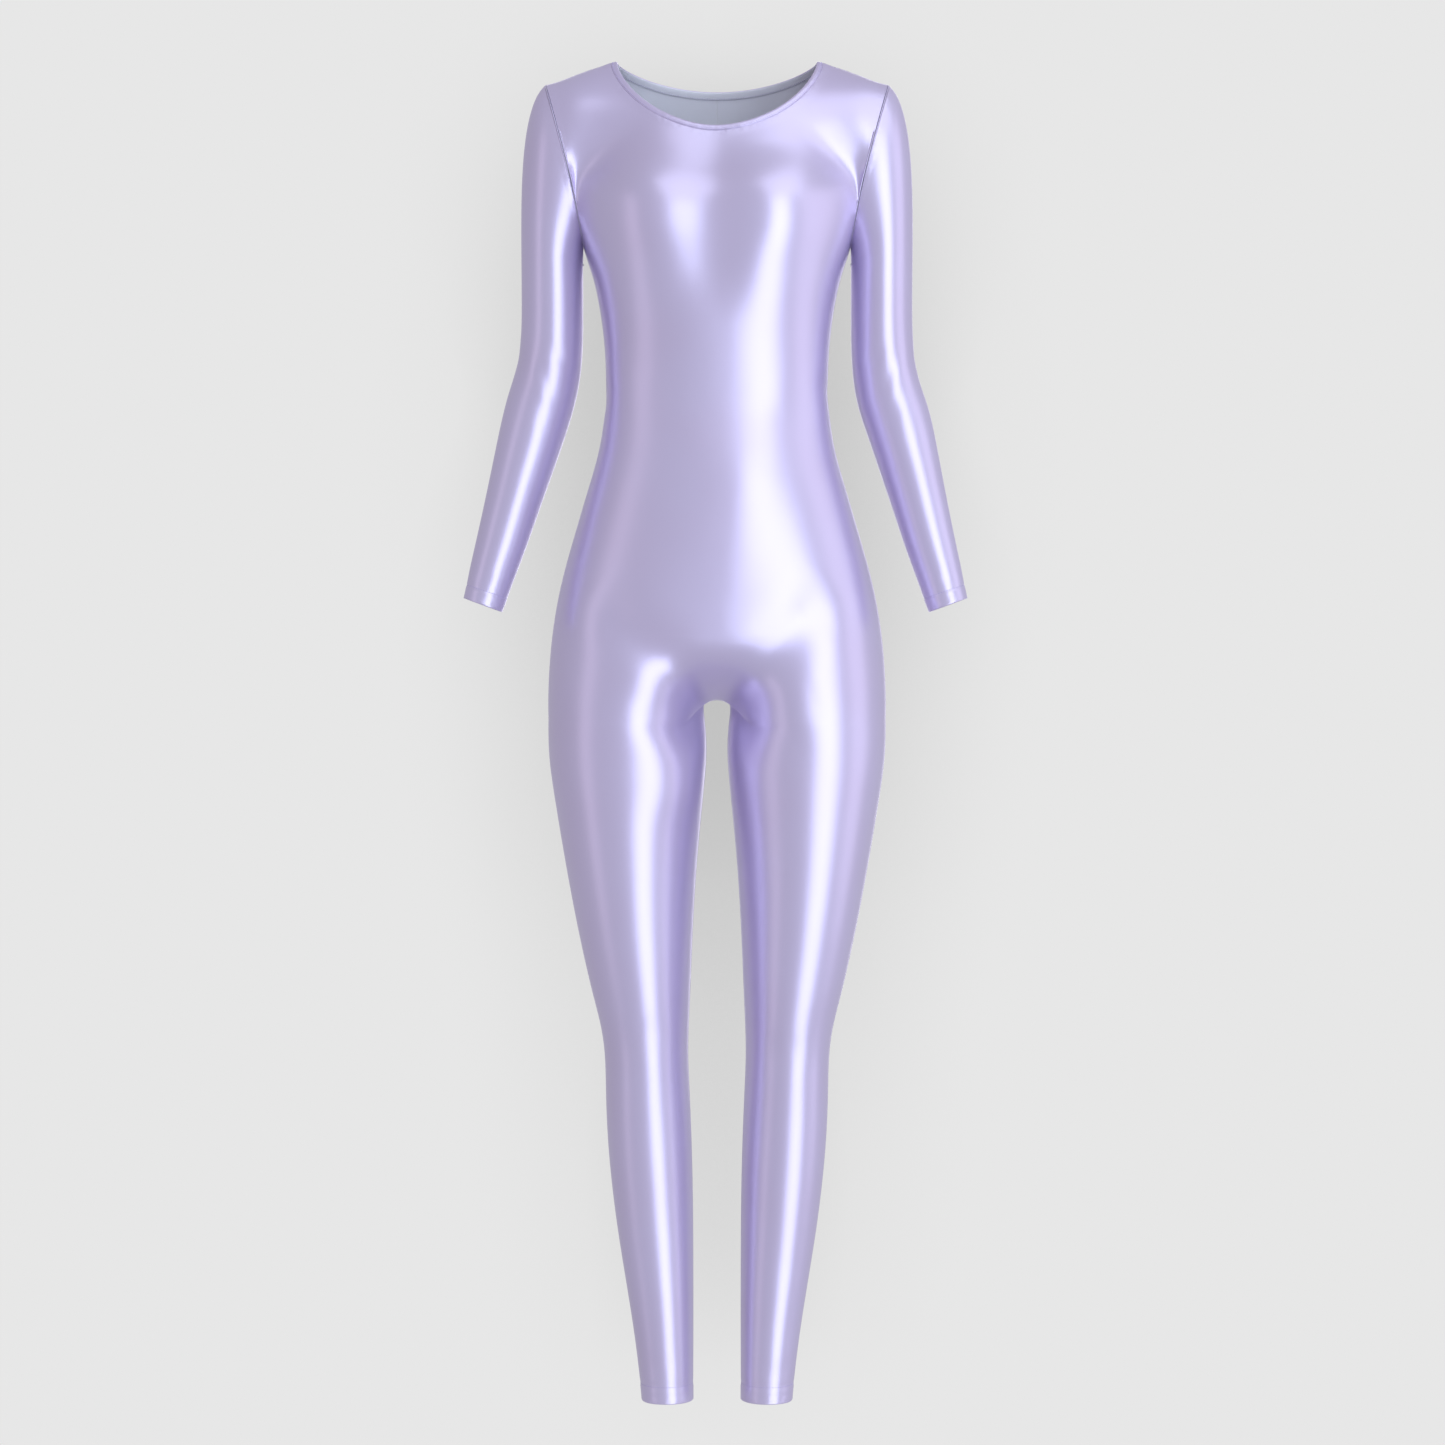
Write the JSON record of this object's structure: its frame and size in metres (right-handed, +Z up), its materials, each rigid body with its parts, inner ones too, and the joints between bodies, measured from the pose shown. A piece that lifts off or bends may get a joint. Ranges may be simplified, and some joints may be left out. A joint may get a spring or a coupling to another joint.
{
  "type": "full body spandex suit",
  "caption": "Shiny lilac stretch bodysuit with a round scoop neck, long set-in sleeves and full-length legs, filled out and open at neck, cuffs and ankles.",
  "frame": {"origin": "midway between the two high shoulder points, at the height of the neck edge there", "axes": "+Z up towards the neck, front towards -Y, the wearer's left towards +X"},
  "size_m": [0.5196, 0.2346, 1.391],
  "materials": {
    "front": "high-shine lilac nylon-spandex tricot",
    "back_left": "high-shine lilac nylon-spandex tricot",
    "back_right": "high-shine lilac nylon-spandex tricot",
    "sleeve_left": "high-shine lilac nylon-spandex tricot",
    "sleeve_right": "high-shine lilac nylon-spandex tricot",
    "neck_binding": "high-shine lilac nylon-spandex tricot"
  },
  "bodies": {
    "root": {"front": "front", "back_left": "back_left", "back_right": "back_right", "sleeve_left": "sleeve_left", "sleeve_right": "sleeve_right", "neck_binding": "neck_binding"}
  },
  "joints": []
}
